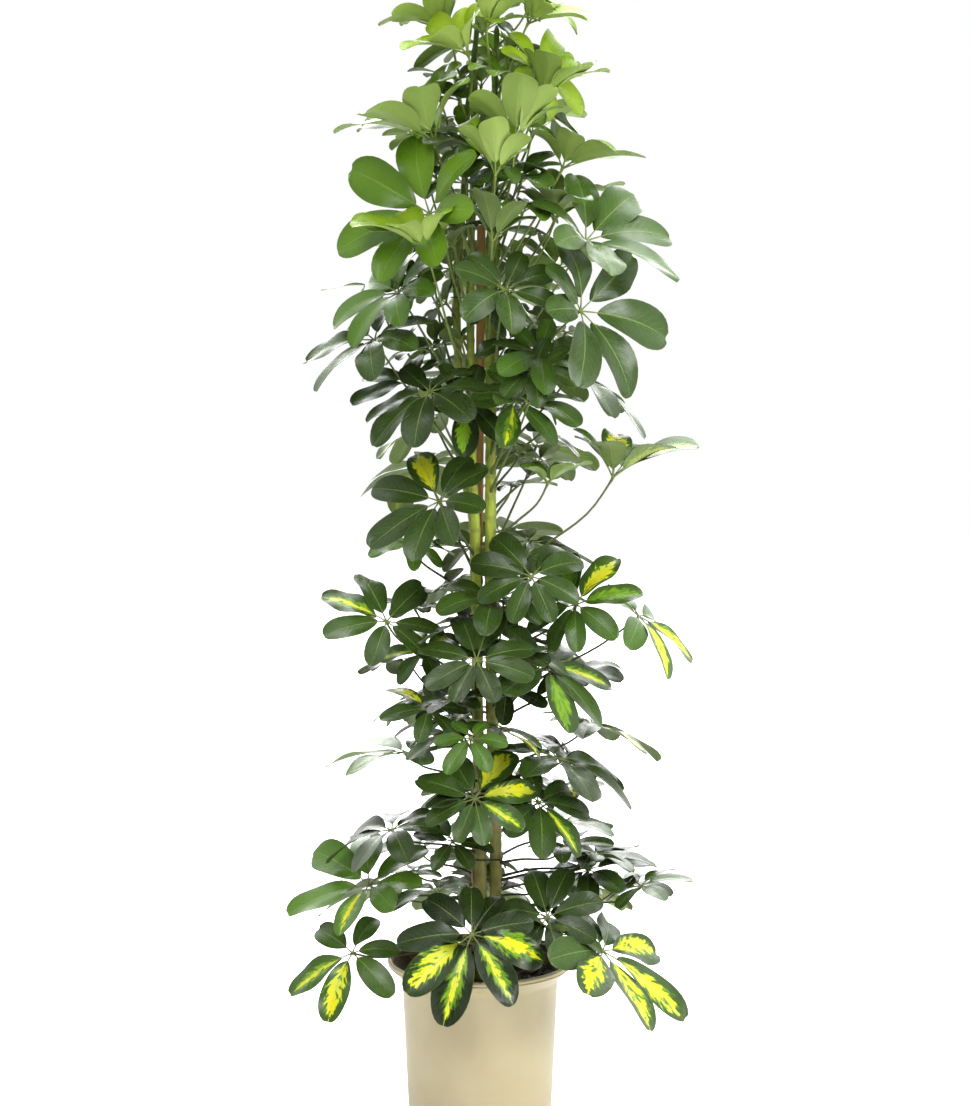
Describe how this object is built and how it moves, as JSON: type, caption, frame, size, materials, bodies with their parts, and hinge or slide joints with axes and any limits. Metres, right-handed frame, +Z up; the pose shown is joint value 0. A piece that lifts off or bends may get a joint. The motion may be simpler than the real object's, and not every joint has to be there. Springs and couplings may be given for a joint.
{
  "type": "potted umbrella plant",
  "caption": "Variegated umbrella plant grown as a tall column: leafy stems tied to a cane in a flared plastic pot of soil, standing on its flat base.",
  "frame": {"origin": "middle of the pot's flat underside, on the surface that it stands on", "axes": "+Z up along the plant; -Y is the front, the side that the picture shows; +X is to its right"},
  "size_m": [0.5246, 0.4459, 1.484],
  "materials": {
    "pot_plastic": "cream moulded plastic, satin gloss",
    "soil": "loose dark potting mix with bark crumbs, dull",
    "cane": "bare bamboo cane, dry satin",
    "tie_wire": "plastic-coated plant wire, dark",
    "foliage": "glossy dark green leaves with yellow streaks, paler below, on tan-green stems"
  },
  "bodies": {
    "root": {"pot": "pot_plastic", "soil": "soil", "cane": "cane", "tie_1": "tie_wire", "tie_2": "tie_wire", "tie_3": "tie_wire", "leafy_stem_1": "foliage", "leafy_stem_2": "foliage", "leafy_stem_3": "foliage", "leafy_stem_4": "foliage"}
  },
  "joints": []
}
